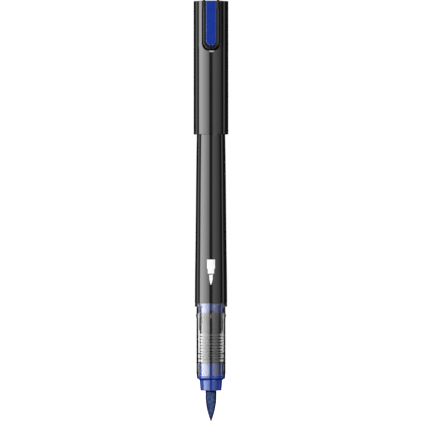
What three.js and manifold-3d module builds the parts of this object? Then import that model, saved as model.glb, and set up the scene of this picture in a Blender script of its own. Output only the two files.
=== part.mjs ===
// Paint marker: a fibre brush nib, a comb feed in a clear section and a black barrel,
// with the cap posted on the barrel's tail.
// The pen's axis is Z, the nib's tip is the origin, and the pocket clip faces -Y.
// Lengths are in millimetres.
import * as THREE from "three";
import { mergeVertices } from "three/addons/utils/BufferGeometryUtils.js";
import Module from "manifold-3d";

const wasm = await Module();
wasm.setup();

// Fits
const PRESS_GAP = 0.06; // radial, between a spigot and its socket
const FACE_GAP = 0.05; // along the axis, between faces that meet
const SLIDE_GAP = 0.07; // radial, between the posted cap and the barrel's tail
const LIQUID_GAP = 0.1; // between the paint and the walls round it
const EDGE_ROUND = 0.2; // radius of a moulded outer edge
const CUT_PAST = 1; // how far a cutting solid runs past the surface that it cuts

// Fibre nib
const NIB_RADIUS = 1.9;
const NIB_EXPOSED = 11.2;
const NIB_TAPER_LENGTH = 9.2;
const NIB_TAPER_POWER = 1.9; // how full the brush's flank is: 1 is a plain cone
const NIB_TAIL_SHORT = 0.3; // how far the nib's tail stops below the nose plug's rear face

// Nose cone, with the plug that closes the clear section
const CONE_LENGTH = 3.73;
const CONE_FRONT_RADIUS = 3.67;
const CONE_BACK_RADIUS = 3.95;
const CONE_FULLNESS = 0.8; // place along the cone up to which its flank stays nearly straight
const SHOULDER_LENGTH = 0.8;
const NOSE_FLANGE_RADIUS = 5.05;
const NOSE_FLANGE_LENGTH = 0.62;
const NOSE_PLUG_LENGTH = 4.44;
const NOSE_STEP_SETBACK = 1.75; // from the flange to the small step on the plug
const NOSE_STEP_HEIGHT = 0.1;

// Clear section
const SECTION_RADIUS = 5.08;
const SECTION_BORE = 4.6;
const SECTION_LENGTH = 24.58;
const BEAD_HEIGHT = 0.25;
const BEAD_WIDTH = 1.8;
const BEAD_SETBACK = 3.12; // from the collar's face to the middle of the snap bead
const BEAD_HAUNCH = 0.7; // share of the bead's height halfway up each of its sides
const COLLAR_RADIUS = 5.69;
const COLLAR_LENGTH = 1.14;
const SPIGOT_LENGTH = 6.4;

// Comb feed
const COMB_DISC_LENGTH = 0.6;
const COMB_CORE_RADIUS = 2.6;
const FIN_RADIUS = 3.87;
const FIN_THICKNESS = 0.5;
const FIN_PITCH = 1.03;
const FIN_COUNT = 10;
const SEAL_FINS = [0, 2]; // these fins reach the section's wall
const FIN_START = 1.14; // from the disc's rear face to the middle of the first fin
const COMB_DRUM_RADIUS = 4.27;
const COMB_DRUM_LENGTH = 6.1;
const COMB_STUB_RADIUS = 1.3;
const COMB_STUB_LENGTH = 0.93;
const AIR_SLOT_WIDTH = 0.6;
const AIR_SLOT_FLOOR = 1.5; // distance of the slot's floor from the axis

// Feed wick
const WICK_RADIUS = 0.8;
const WICK_PROUD = 1.6; // length past the comb's stub, in the paint

// Barrel and paint
const BARREL_LENGTH = 83.03;
const BARREL_FRONT_RADIUS = 5.72;
const BARREL_GRIP_RADIUS = 5.66;
const BARREL_GRIP_PLACE = 9.4; // from the barrel's front face
const BARREL_MIDDLE_RADIUS = 5.48;
const BARREL_MIDDLE_PLACE = 22.2;
const BARREL_WAIST_RADIUS = 5.29;
const BARREL_WAIST_PLACE = 41;
const BARREL_REAR_RADIUS = 5.16;
const BARREL_REAR_PLACE = 52;
const BARREL_POST_RADIUS = 5.05; // where the posted cap's mouth stops
const BARREL_TAIL_RADIUS = 4.9;
const BARREL_SOCKET_RADIUS = 5.08;
const BARREL_SOCKET_DEPTH = 6.8;
const BARREL_BORE_FRONT = 4.62;
const BARREL_BORE_REAR = 4.1;
const PAINT_LENGTH = 56;
const END_PLUG_RADIUS = 4.7;
const END_PLUG_HEAD = 1.0;
const END_PLUG_SPIGOT = 4.0;
const END_PLUG_WALL = 1.0;
const END_PLUG_CHAMFER = 0.5;

// Cap
const CAP_RADIUS = 6.11;
const CAP_BORE = 5.2;
const CAP_LENGTH = 47.37;
const CAP_POST_STOP = 2.15; // from the barrel's end plug to the inner cup's mouth in the posted cap
const CAP_MOUTH_LAND = 7.5; // length of the narrower bore at the mouth
const CAP_GROOVE_DEPTH = 0.28; // takes the section's snap bead when the pen is capped
const CAP_GROOVE_WIDTH = 2.2;
const CAP_GROOVE_FLAT = 1 / 3; // share of the groove's width that is at its full depth
const CROWN_LENGTH = 3.8;
const CROWN_SKIRT_WALL = 1.0;
const CROWN_ROOF = 1.6;
const CROWN_RISE = 0.2; // how far the crown's flat top stands over the cap's rim
const CROWN_FLAT_RADIUS = 3.9;

// Inner cap, the cup that closes on the nose cone when the pen is capped
const INNER_GAP = 0.06; // radial, between the cup's lip and the cone
const INNER_WALL = 0.6;
const INNER_LIP_LENGTH = 1.2;
const INNER_CHAMBER_WIDER = 0.1; // how much wider the chamber is than the lip
const INNER_TIP_ROOM = 1.2; // free length past the capped nib's tip
const INNER_ROOF = 1.2;
const INNER_SEAT = 0.15; // from the nose shoulder to the lip when capped
const INNER_CROWN_GAP = 0.19; // between the cup's roof and the crown's skirt

// Pocket clip and its coloured inlay
const CLIP_WIDTH = 6.1;
const CLIP_LENGTH = 17.2;
const CLIP_THICKNESS = 0.95;
const CLIP_STANDOFF = 0.44; // from the cap's surface to the clip's back
const CLIP_EAR_INNER = 2.1; // distance of an ear's inner side from the pen's middle plane
const CLIP_EAR_WIDTH = 0.7;
const CLIP_EAR_THICKNESS = 0.5;
const CLIP_EAR_REACH = 3.15; // length of an ear from the clip's front face over the cap's end
const CLIP_EAR_FOOT = 3.05; // from the cap's end down to where an ear starts on the clip
const CLIP_EAR_GAP = 0.32; // between the ears and the cap's rim
const CLIP_ROOT_WIDTH = 4.0;
const CLIP_ROOT_LENGTH = 2.4;
const CLIP_ROOT_GAP = 0.19; // between the clip's root and the recess's floor
const CLIP_ROOT_SUNK = 0.24; // how deep the root reaches into the clip's plate
const CLIP_BEAD_RADIUS = 0.55;
const CLIP_BEAD_WIDTH = 2.6;
const CLIP_BEAD_SETBACK = 1.9; // from the clip's tip to the bead
const INLAY_WIDTH = 3.73;
const INLAY_TIP_SETBACK = 1.28; // from the clip's tip to the inlay's
const INLAY_THICKNESS = 0.35;
const INLAY_SUNK = 0.12; // how far the inlay's face lies under the clip's face
const INLAY_GAP = 0.05;
const CLIP_RECESS_DEPTH = 0.35; // finger recess in the cap behind the clip
const CLIP_RECESS_MARGIN = 0.1; // how much wider than the clip the recess is, on each side
const CLIP_RECESS_PAST = 0.7; // how far the recess runs past the clip's tip

// Faceting
const SIDES = 40; // of a turned piece
const SMALL_SIDES = 28; // of the nib and the wick
const BEAD_SIDES = 12; // of the clip's bead
const ARC_STEPS = 3;
const TAPER_STEPS = 8;
const BARREL_STEPS = 10;
const STADIUM_STEPS = 12; // of a clip's round end
const MERGE_DISTANCE = 1e-4;

// Stations along the axis, worked out from the sizes above
const coneFront = NIB_EXPOSED;
const coneBack = coneFront + CONE_LENGTH;
const noseFlange = coneBack + SHOULDER_LENGTH;
const noseSeat = noseFlange + NOSE_FLANGE_LENGTH;
const nosePlugEnd = noseSeat + NOSE_PLUG_LENGTH;
const nibEnd = nosePlugEnd - NIB_TAIL_SHORT;
const sectionFront = noseSeat + FACE_GAP;
const collarFace = sectionFront + SECTION_LENGTH;
const collarBack = collarFace + COLLAR_LENGTH;
const spigotEnd = collarBack + SPIGOT_LENGTH;
const combFront = nosePlugEnd + FACE_GAP;
const combDiscBack = combFront + COMB_DISC_LENGTH;
const lastFin = combDiscBack + FIN_START + (FIN_COUNT - 1) * FIN_PITCH;
const drumFront = lastFin + FIN_PITCH / 2 + FIN_THICKNESS / 2;
const drumBack = drumFront + COMB_DRUM_LENGTH;
const stubEnd = drumBack + COMB_STUB_LENGTH;
const wickEnd = stubEnd + WICK_PROUD;
const barrelFront = collarBack + FACE_GAP;
const barrelBack = barrelFront + BARREL_LENGTH;
const socketEnd = barrelFront + BARREL_SOCKET_DEPTH;
const endPlugTop = barrelBack + FACE_GAP + END_PLUG_HEAD;
const innerMouth = endPlugTop + CAP_POST_STOP;
const cappedTip = innerMouth + coneBack - INNER_SEAT; // where the nib's tip lies in the capped pen
const innerChamberEnd = cappedTip + INNER_TIP_ROOM;
const innerEnd = innerChamberEnd + INNER_ROOF;
const crownBottom = innerEnd + INNER_CROWN_GAP;
const capEnd = crownBottom + CROWN_LENGTH;
const capMouth = capEnd - CAP_LENGTH;
const clipBack = -(CAP_RADIUS + CLIP_STANDOFF);
const clipFace = clipBack - CLIP_THICKNESS;
const clipTip = capEnd - CLIP_LENGTH;
const earFoot = capEnd - CLIP_EAR_FOOT;
const earBottom = capEnd + CLIP_EAR_GAP;
const earTop = earBottom + CLIP_EAR_THICKNESS;

// Radii that follow from a neighbour's
const sealRadius = SECTION_BORE - PRESS_GAP;
const wickBore = WICK_RADIUS + PRESS_GAP;
const spigotRadius = BARREL_SOCKET_RADIUS - PRESS_GAP;
const capMouthBore = BARREL_POST_RADIUS + SLIDE_GAP;
const capMouthWiden = capMouthBore + CAP_GROOVE_DEPTH;
const crownRadius = CAP_BORE - PRESS_GAP;
const innerLipRadius = CONE_BACK_RADIUS + INNER_GAP;
const innerChamberRadius = innerLipRadius + INNER_CHAMBER_WIDER;
const innerOuterRadius = innerLipRadius + INNER_WALL;

// The barrel's bore narrows evenly from its socket to its tail.
function barrelBore(z) {
  const share = (z - socketEnd) / (barrelBack - socketEnd);
  return THREE.MathUtils.lerp(BARREL_BORE_FRONT, BARREL_BORE_REAR, share);
}

// Points of an arc in a turning profile, angles in degrees from the outward direction towards +Z.
function arc(r, z, radius, from, to) {
  return Array.from({ length: ARC_STEPS + 1 }, (_, i) => {
    const angle = THREE.MathUtils.degToRad(from + ((to - from) * i) / ARC_STEPS);
    return [r + radius * Math.cos(angle), z + radius * Math.sin(angle)];
  });
}

// Merges shared vertices, drops collapsed triangles and turns the faces outwards.
function closedGeometry(geometry) {
  const plain = geometry.clone();
  plain.deleteAttribute("normal");
  plain.deleteAttribute("uv");
  const merged = mergeVertices(plain, MERGE_DISTANCE);
  const place = merged.getAttribute("position");
  const corners = [];
  let volume = 0;
  const [a, b, c] = [new THREE.Vector3(), new THREE.Vector3(), new THREE.Vector3()];
  for (let i = 0; i < merged.index.count; i += 3) {
    const [p, q, r] = [0, 1, 2].map((k) => merged.index.getX(i + k));
    if (p === q || q === r || r === p) continue;
    corners.push(p, q, r);
    a.fromBufferAttribute(place, p);
    b.fromBufferAttribute(place, q);
    c.fromBufferAttribute(place, r);
    volume += a.dot(b.cross(c)) / 6;
  }
  merged.setIndex(volume < 0 ? corners.reverse() : corners);
  return merged;
}

// Turns a profile of [radius, z] points round the Z axis.
// The profile starts and ends on the axis, or closes on itself.
function turned(profile, sides = SIDES) {
  const lathe = new THREE.LatheGeometry(
    profile.map(([r, z]) => new THREE.Vector2(r, z)),
    sides,
  );
  return closedGeometry(lathe.rotateX(Math.PI / 2));
}

// A turned ring or tube, whose profile is closed back to its first point.
function turnedRing(profile, sides = SIDES) {
  return turned([...profile, profile[0]], sides);
}

function solid(geometry) {
  return new wasm.Manifold(
    new wasm.Mesh({
      numProp: 3,
      vertProperties: geometry.getAttribute("position").array,
      triVerts: new Uint32Array(geometry.index.array),
    }),
  );
}

function geometryOf(body) {
  const { vertProperties, triVerts } = body.getMesh();
  return new THREE.BufferGeometry()
    .setAttribute("position", new THREE.BufferAttribute(vertProperties, 3))
    .setIndex(new THREE.BufferAttribute(triVerts, 1));
}

function box(low, high) {
  const [size, middle] = [high.map((v, i) => v - low[i]), high.map((v, i) => (v + low[i]) / 2)];
  return closedGeometry(new THREE.BoxGeometry(...size).translate(...middle));
}

// A plate between two Y planes.
// Seen from the front it has straight sides, a square top and a round lower end.
function clipPlate(halfWidth, tip, top, near, far) {
  const shape = new THREE.Shape();
  shape.moveTo(halfWidth, top);
  shape.lineTo(-halfWidth, top);
  shape.lineTo(-halfWidth, tip + halfWidth);
  shape.absarc(0, tip + halfWidth, halfWidth, Math.PI, 2 * Math.PI, false);
  const plate = new THREE.ExtrudeGeometry(shape, {
    depth: Math.abs(far - near),
    bevelEnabled: false,
    curveSegments: STADIUM_STEPS,
  });
  return closedGeometry(plate.rotateX(Math.PI / 2).translate(0, Math.max(near, far), 0));
}

function nib() {
  const points = [[0, 0]];
  for (let i = 1; i <= TAPER_STEPS; i++) {
    const z = (NIB_TAPER_LENGTH * i) / TAPER_STEPS;
    const share = 1 - (1 - z / NIB_TAPER_LENGTH) ** NIB_TAPER_POWER;
    points.push([NIB_RADIUS * share, z]);
  }
  points.push([NIB_RADIUS, nibEnd], [0, nibEnd]);
  return turned(points, SMALL_SIDES);
}

function noseCone() {
  const bore = NIB_RADIUS + PRESS_GAP;
  const flank = new THREE.QuadraticBezierCurve(
    new THREE.Vector2(CONE_FRONT_RADIUS, coneFront + EDGE_ROUND),
    new THREE.Vector2(CONE_BACK_RADIUS, coneFront + CONE_LENGTH * CONE_FULLNESS),
    new THREE.Vector2(CONE_BACK_RADIUS, coneBack),
  );
  const step = noseSeat + NOSE_STEP_SETBACK;
  return turnedRing([
    [bore, coneFront],
    ...arc(CONE_FRONT_RADIUS - EDGE_ROUND, coneFront + EDGE_ROUND, EDGE_ROUND, -90, 0),
    ...flank.getPoints(ARC_STEPS).slice(1).map((p) => [p.x, p.y]),
    ...arc(NOSE_FLANGE_RADIUS - EDGE_ROUND, noseFlange + EDGE_ROUND, EDGE_ROUND, -45, 0),
    [NOSE_FLANGE_RADIUS, noseSeat],
    [sealRadius, noseSeat],
    [sealRadius, step],
    [sealRadius - NOSE_STEP_HEIGHT, step],
    [sealRadius - NOSE_STEP_HEIGHT, nosePlugEnd],
    [bore, nosePlugEnd],
  ]);
}

function clearSection() {
  const bead = collarFace - BEAD_SETBACK;
  const beadHalf = BEAD_WIDTH / 2;
  return turnedRing([
    [SECTION_BORE, sectionFront],
    [SECTION_RADIUS, sectionFront],
    [SECTION_RADIUS, bead - beadHalf],
    [SECTION_RADIUS + BEAD_HEIGHT * BEAD_HAUNCH, bead - beadHalf / 2],
    [SECTION_RADIUS + BEAD_HEIGHT, bead],
    [SECTION_RADIUS + BEAD_HEIGHT * BEAD_HAUNCH, bead + beadHalf / 2],
    [SECTION_RADIUS, bead + beadHalf],
    [SECTION_RADIUS, collarFace],
    [COLLAR_RADIUS, collarFace],
    [COLLAR_RADIUS, collarBack],
    [spigotRadius, collarBack],
    [spigotRadius, spigotEnd],
    [SECTION_BORE, spigotEnd],
  ]);
}

// Fins on a core, between the front disc and the drum, with the wick's bore and an air slot down the back.
function feedComb() {
  const profile = [
    [wickBore, combFront],
    [sealRadius, combFront],
    [sealRadius, combDiscBack],
    [COMB_CORE_RADIUS, combDiscBack],
  ];
  for (let i = 0; i < FIN_COUNT; i++) {
    const radius = SEAL_FINS.includes(i) ? sealRadius : FIN_RADIUS;
    const low = combDiscBack + FIN_START + i * FIN_PITCH - FIN_THICKNESS / 2;
    const high = low + FIN_THICKNESS;
    profile.push([COMB_CORE_RADIUS, low], [radius, low], [radius, high], [COMB_CORE_RADIUS, high]);
  }
  profile.push(
    [COMB_CORE_RADIUS, drumFront],
    [COMB_DRUM_RADIUS, drumFront],
    [COMB_DRUM_RADIUS, drumBack],
    [COMB_STUB_RADIUS, drumBack],
    [COMB_STUB_RADIUS, stubEnd],
    [wickBore, stubEnd],
  );
  const slot = box(
    [-AIR_SLOT_WIDTH / 2, AIR_SLOT_FLOOR, combFront - CUT_PAST],
    [AIR_SLOT_WIDTH / 2, SECTION_RADIUS, drumBack + CUT_PAST],
  );
  return geometryOf(solid(turnedRing(profile)).subtract(solid(slot)));
}

function feedWick() {
  const start = nibEnd + FACE_GAP;
  return turned([[0, start], [WICK_RADIUS, start], [WICK_RADIUS, wickEnd], [0, wickEnd]], SMALL_SIDES);
}

// The paint fills the section's rear and the front of the barrel, round the comb's stub and the wick.
function paintCharge() {
  const front = drumBack + LIQUID_GAP;
  const top = front + PAINT_LENGTH;
  const inSection = SECTION_BORE - LIQUID_GAP;
  const step = spigotEnd + LIQUID_GAP;
  return turned([
    [0, wickEnd + LIQUID_GAP],
    [COMB_STUB_RADIUS + LIQUID_GAP, wickEnd + LIQUID_GAP],
    [COMB_STUB_RADIUS + LIQUID_GAP, front],
    [inSection, front],
    [inSection, step],
    [barrelBore(step) - LIQUID_GAP, Math.max(step, socketEnd) + LIQUID_GAP],
    [barrelBore(top) - LIQUID_GAP, top],
    [0, top],
  ]);
}

// The barrel's outer line as a spline from its front face to its tail.
function barrelLine() {
  const spline = new THREE.SplineCurve([
    new THREE.Vector2(BARREL_FRONT_RADIUS, barrelFront),
    new THREE.Vector2(BARREL_GRIP_RADIUS, barrelFront + BARREL_GRIP_PLACE),
    new THREE.Vector2(BARREL_MIDDLE_RADIUS, barrelFront + BARREL_MIDDLE_PLACE),
    new THREE.Vector2(BARREL_WAIST_RADIUS, barrelFront + BARREL_WAIST_PLACE),
    new THREE.Vector2(BARREL_REAR_RADIUS, barrelFront + BARREL_REAR_PLACE),
    new THREE.Vector2(BARREL_POST_RADIUS, capMouth),
  ]);
  return spline.getPoints(BARREL_STEPS).map((p) => [p.x, p.y]);
}

function barrel() {
  return turnedRing([
    [BARREL_SOCKET_RADIUS, barrelFront],
    ...barrelLine(),
    [BARREL_TAIL_RADIUS, barrelBack - EDGE_ROUND],
    [BARREL_TAIL_RADIUS - EDGE_ROUND, barrelBack],
    [BARREL_BORE_REAR, barrelBack],
    [BARREL_BORE_FRONT, socketEnd],
    [BARREL_SOCKET_RADIUS, socketEnd],
  ]);
}

function barrelEndPlug() {
  const head = barrelBack + FACE_GAP;
  const spigotStart = head - END_PLUG_SPIGOT;
  const spigot = BARREL_BORE_REAR - PRESS_GAP;
  return turned([
    [0, head - END_PLUG_WALL],
    [spigot - END_PLUG_WALL, head - END_PLUG_WALL],
    [spigot - END_PLUG_WALL, spigotStart],
    [spigot, spigotStart],
    [spigot, head],
    [END_PLUG_RADIUS, head],
    [END_PLUG_RADIUS, endPlugTop - END_PLUG_CHAMFER],
    [END_PLUG_RADIUS - END_PLUG_CHAMFER, endPlugTop],
    [0, endPlugTop],
  ]);
}

// The cap's tube, with its mouth land and snap groove, and the recess cut into its face behind the clip.
function capShell() {
  const groove = capMouth + BEAD_SETBACK;
  const half = CAP_GROOVE_WIDTH / 2;
  const flat = half * CAP_GROOVE_FLAT;
  const landEnd = capMouth + CAP_MOUTH_LAND;
  const tube = turnedRing([
    [capMouthWiden, capMouth],
    ...arc(CAP_RADIUS - EDGE_ROUND, capMouth + EDGE_ROUND, EDGE_ROUND, -90, 0),
    ...arc(CAP_RADIUS - EDGE_ROUND, capEnd - EDGE_ROUND, EDGE_ROUND, 0, 90),
    [CAP_BORE, capEnd],
    [CAP_BORE, landEnd],
    [capMouthBore, landEnd - EDGE_ROUND],
    [capMouthBore, groove + half],
    [capMouthWiden, groove + flat],
    [capMouthWiden, groove - flat],
    [capMouthBore, groove - half],
    [capMouthBore, capMouth + CAP_GROOVE_DEPTH],
  ]);
  const floor = CAP_RADIUS - CLIP_RECESS_DEPTH;
  const past = capEnd + CUT_PAST;
  const core = turned([[0, capMouth], [floor, capMouth], [floor, past], [0, past]]);
  const outline = clipPlate(
    CLIP_WIDTH / 2 + CLIP_RECESS_MARGIN,
    clipTip - CLIP_RECESS_PAST,
    past,
    -CAP_RADIUS - CUT_PAST,
    0,
  );
  return geometryOf(solid(tube).subtract(solid(outline).subtract(solid(core))));
}

function capCrown() {
  const skirtBore = crownRadius - CROWN_SKIRT_WALL;
  const roof = capEnd - CROWN_ROOF;
  return turned([
    [0, roof],
    [skirtBore, roof],
    [skirtBore, crownBottom],
    [crownRadius, crownBottom],
    [crownRadius, capEnd],
    [CROWN_FLAT_RADIUS, capEnd + CROWN_RISE],
    [0, capEnd + CROWN_RISE],
  ]);
}

function innerCap() {
  const lipEnd = innerMouth + INNER_LIP_LENGTH;
  return turned([
    [0, innerChamberEnd],
    [innerChamberRadius, innerChamberEnd],
    [innerChamberRadius, lipEnd],
    [innerLipRadius, lipEnd - INNER_CHAMBER_WIDER],
    [innerLipRadius, innerMouth],
    [innerOuterRadius, innerMouth],
    [innerOuterRadius, innerChamberEnd],
    [crownRadius, innerChamberEnd],
    [crownRadius, innerEnd],
    [0, innerEnd],
  ]);
}

// The clip's ear seen from the side: up the clip's back and over the cap's end.
function clipEar(side) {
  const shape = new THREE.Shape();
  shape.moveTo(clipFace, earFoot);
  shape.lineTo(clipBack, earFoot);
  shape.lineTo(clipBack, earBottom);
  shape.lineTo(clipFace + CLIP_EAR_REACH, earBottom);
  shape.lineTo(clipFace + CLIP_EAR_REACH, earTop);
  shape.lineTo(clipFace + CLIP_EAR_THICKNESS, earTop);
  shape.lineTo(clipFace, earTop - CLIP_EAR_THICKNESS);
  const ear = new THREE.ExtrudeGeometry(shape, { depth: CLIP_EAR_WIDTH, bevelEnabled: false });
  const inner = side > 0 ? CLIP_EAR_INNER : -CLIP_EAR_INNER - CLIP_EAR_WIDTH;
  return closedGeometry(ear.rotateX(Math.PI / 2).rotateZ(Math.PI / 2).translate(inner, 0, 0));
}

function pocketClip() {
  const half = CLIP_WIDTH / 2;
  const pocketFloor = clipFace + INLAY_SUNK + INLAY_THICKNESS + INLAY_GAP;
  const inlayTip = clipTip + INLAY_TIP_SETBACK;
  const pocketHalf = INLAY_WIDTH / 2 + INLAY_GAP;
  const plate = solid(clipPlate(half, clipTip, capEnd, clipFace, clipBack));
  const pocket = clipPlate(
    pocketHalf,
    inlayTip - INLAY_GAP,
    capEnd + CUT_PAST,
    clipFace - CUT_PAST,
    pocketFloor,
  );
  const root = box(
    [-CLIP_ROOT_WIDTH / 2, clipBack - CLIP_ROOT_SUNK, capEnd - CLIP_ROOT_LENGTH],
    [CLIP_ROOT_WIDTH / 2, -(CAP_RADIUS - CLIP_RECESS_DEPTH + CLIP_ROOT_GAP), capEnd],
  );
  const bead = new THREE.CylinderGeometry(
    CLIP_BEAD_RADIUS,
    CLIP_BEAD_RADIUS,
    CLIP_BEAD_WIDTH,
    BEAD_SIDES,
  );
  bead.rotateZ(Math.PI / 2).translate(0, clipBack, clipTip + CLIP_BEAD_SETBACK);
  const body = plate
    .add(solid(closedGeometry(bead)))
    .add(solid(root))
    .subtract(solid(pocket))
    .add(solid(clipEar(1)))
    .add(solid(clipEar(-1)));
  return geometryOf(body);
}

function clipInlay() {
  const near = clipFace + INLAY_SUNK;
  return clipPlate(
    INLAY_WIDTH / 2,
    clipTip + INLAY_TIP_SETBACK,
    capEnd - FACE_GAP,
    near,
    near + INLAY_THICKNESS,
  );
}

const blackGloss = { color: 0x0b0b0c, roughness: 0.18, metalness: 0 };
const blueGloss = { color: 0x203a91, roughness: 0.2, metalness: 0 };
const blueTint = { color: 0x1f3a9c, roughness: 0.1, metalness: 0 };
const clear = { color: 0xf0f3f6, roughness: 0.05, metalness: 0, transparent: true, opacity: 0.25 };
const whiteMatte = { color: 0xd8d8d4, roughness: 0.6, metalness: 0 };
const feltBlue = { color: 0x33466e, roughness: 0.95, metalness: 0 };
const wickFibre = { color: 0x4a5a86, roughness: 0.95, metalness: 0 };
const paintBlue = { color: 0x1c379c, roughness: 0.1, metalness: 0 };

const marker = new THREE.Group();

function addPiece(group, name, geometry, look) {
  const mesh = new THREE.Mesh(geometry, new THREE.MeshStandardMaterial(look));
  mesh.name = name;
  group.add(mesh);
}

const pen = new THREE.Group();
addPiece(pen, "nib", nib(), feltBlue);
addPiece(pen, "nose_cone", noseCone(), blueTint);
addPiece(pen, "clear_section", clearSection(), clear);
addPiece(pen, "feed_comb", feedComb(), blackGloss);
addPiece(pen, "feed_wick", feedWick(), wickFibre);
addPiece(pen, "paint_charge", paintCharge(), paintBlue);
addPiece(pen, "barrel", barrel(), blackGloss);
addPiece(pen, "barrel_end_plug", barrelEndPlug(), blackGloss);

const cap = new THREE.Group();
addPiece(cap, "cap_shell", capShell(), blackGloss);
addPiece(cap, "cap_crown", capCrown(), blackGloss);
addPiece(cap, "inner_cap", innerCap(), whiteMatte);

const clip = new THREE.Group();
addPiece(clip, "pocket_clip", pocketClip(), blackGloss);
addPiece(clip, "clip_inlay", clipInlay(), blueGloss);
cap.add(clip);

marker.add(pen, cap);
export default marker;
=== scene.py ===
import math

import bmesh
import bpy
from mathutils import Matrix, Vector


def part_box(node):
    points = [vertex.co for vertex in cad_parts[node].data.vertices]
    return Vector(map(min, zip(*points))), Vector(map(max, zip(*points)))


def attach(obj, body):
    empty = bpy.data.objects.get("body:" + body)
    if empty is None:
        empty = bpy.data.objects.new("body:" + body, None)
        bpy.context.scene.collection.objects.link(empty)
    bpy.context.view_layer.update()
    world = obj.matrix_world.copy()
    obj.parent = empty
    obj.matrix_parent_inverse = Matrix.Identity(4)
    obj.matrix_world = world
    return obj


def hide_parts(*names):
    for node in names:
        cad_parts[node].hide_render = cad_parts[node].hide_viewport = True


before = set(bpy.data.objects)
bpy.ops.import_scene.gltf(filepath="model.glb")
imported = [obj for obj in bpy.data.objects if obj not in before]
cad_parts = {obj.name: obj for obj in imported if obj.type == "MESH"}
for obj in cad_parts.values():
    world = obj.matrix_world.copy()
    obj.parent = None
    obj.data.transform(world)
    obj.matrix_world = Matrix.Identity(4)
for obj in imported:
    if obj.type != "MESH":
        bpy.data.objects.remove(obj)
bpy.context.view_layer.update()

scene = bpy.context.scene

# Units: profiles are written in millimetres and built in metres
MM = 0.001

# The picture: its side in pixels, the real length of a pixel and the column of the pen's axis
PICTURE_SIDE = 422
PIXEL = 0.35545
AXIS_COLUMN = 211.0
CAMERA_DISTANCE = 3000.0
SENSOR = 36.0

# Fineness: columns and steps of the meshes, and the angles in degrees over which an edge is sharp
SIDES = 160
FLOOR_SIDES = 96
BAR_SIDES = 24
FILLET_STEPS = 5
COMB_FILLET_STEPS = 3
BEVEL_STEPS = 3
ARC_STEPS = 40
RAIL_BACK_STEPS, RAIL_STEPS, INLAY_STEPS = 4, 5, 8
NIB_STEPS = 36
BEAD_STEPS = 12
BARREL_STEPS = 6
TAB_STEPS = 8
RIM_STEPS = 6
CAP_ROWS = 8
SKIRT_ROWS = 6
TUBE_ROWS = 10
BACK_COLUMNS = 110
WRAP_COLUMNS = 14
SIGN_ROW_STEP = 0.2
SHARP_ANGLE = 32.0
FELT_SHARP_ANGLE = 60.0
BEVEL_ANGLE = 25.0

# Least sizes: points that merge and edges that go, in metres, and a radius that counts as the axis
MERGE_DISTANCE, LEAST_EDGE = 1e-7, 1e-8
ON_AXIS = 1e-6

# A bevelled solid's flats get a frame: from this side, in bevels, and this share of a bevel wide
LARGE_FLAT, FRAME_SHARE = 4, 1 / 3

# Corners: how much of its shorter stretch a fillet may take, and where its guard points stand past the arc
FILLET_REACH = 0.48
GUARD_SHARE = 0.4

# Fillets that many edges share, and the least step between two faces
HAIRLINE, CRISP, NEAT, SOFT, FULL = 0.05, 0.06, 0.08, 0.1, 0.15
LEAST_STEP = 0.02


def span(node, axis=2):
    """The node's lowest and highest place along an axis, 2 for z, in millimetres."""
    lowest, highest = (Vector(corner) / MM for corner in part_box(node))
    return lowest[axis], highest[axis]


def reach(node):
    """The node's radius or half width: its highest x in millimetres."""
    return span(node, 0)[1]


# Finished skins: how far outer surfaces stand out of the plain solids, and the cap's rim above its plain end
SKIN = 0.05
RIM_RISE = 0.06

# Stations along the axis, and the clip's places in y
nib_tip, nib_end = span("nib")
cone_front, plug_end = span("nose_cone")
section_front, section_end = span("clear_section")
comb_front, stub_end = span("feed_comb")
wick_start, wick_end = span("feed_wick")
paint_front, paint_end = span("paint_charge")
barrel_front, barrel_back = span("barrel")
end_plug_low, end_plug_top = span("barrel_end_plug")
cap_mouth, cap_plain_end = span("cap_shell")
cap_end = cap_plain_end + RIM_RISE
crown_low, crown_top = span("cap_crown")
cup_mouth, cup_end = span("inner_cap")
clip_tip, ear_top = span("pocket_clip")
clip_face, ear_end = span("pocket_clip", 1)
inlay_tip, inlay_plain_top = span("clip_inlay")
inlay_top = inlay_plain_top + RIM_RISE
inlay_face, inlay_back = span("clip_inlay", 1)

# Radii and half widths
nib_radius = reach("nib")
nib_skin = nib_radius + SKIN
flange_radius = reach("nose_cone") + SKIN
seal_radius = reach("feed_comb")
collar_radius = reach("clear_section") + SKIN / 2
wick_radius = reach("feed_wick")
cap_radius = reach("cap_shell") + SKIN
crown_radius = reach("cap_crown")
clip_half = reach("pocket_clip")
inlay_half = reach("clip_inlay")

# Nib, nose and clear section
NIB_TAPER = 9.2
NIB_POWER = 1.9
NIB_CROWDING = 1.5
NIB_STEP_LENGTH = 0.3
CONE_FRONT_RADIUS = 3.67 + SKIN
CONE_BACK_RADIUS = 3.95 + SKIN
CONE_LENGTH = 3.73
CONE_FULLNESS = 0.8
CONE_EDGE = 0.26
CONE_SHOULDER_FILLET = 0.5
CONE_MOUTH_LENGTH = 0.5
FLANK_SHARES = (0.15, 0.3, 0.45, 0.6, 0.75)
# Painted shade on the felts near their inner ends: the length it fades in over, and its shade as a share of
# the dark fibre colour
PAINTED_SHADE_FADE, PAINTED_SHADE_LEVEL = 0.35, 0.25
FIBRE_SCATTER = 0.7
INK_FILM = (0.2, 0.23, 0.32)
INK_FILM_IOR = 1.03
SPECKLE_SHARE, SPECKLE_SPREAD = 3.0, 0.08
SHOULDER_LENGTH = 0.8
FLANGE_LENGTH = 0.62
FLANGE_EDGE = 0.2
PLUG_STEP_SETBACK = 1.75
PLUG_STEP = 0.1
PLUG_STEP_EDGE = 0.04
PLUG_END_EDGE = 0.12
PRESS_GAP = 0.06
SECTION_RADIUS = 5.08 + SKIN
SECTION_BORE = 4.6
SECTION_LENGTH = 24.58
COLLAR_LENGTH = 1.14
COLLAR_EDGE, COLLAR_BACK_EDGE = 0.14, 0.03
SPIGOT_RADIUS = 5.02
BEAD_HEIGHT = 0.24
BEAD_WIDTH = 2.0
BEAD_SETBACK = 3.12

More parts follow.
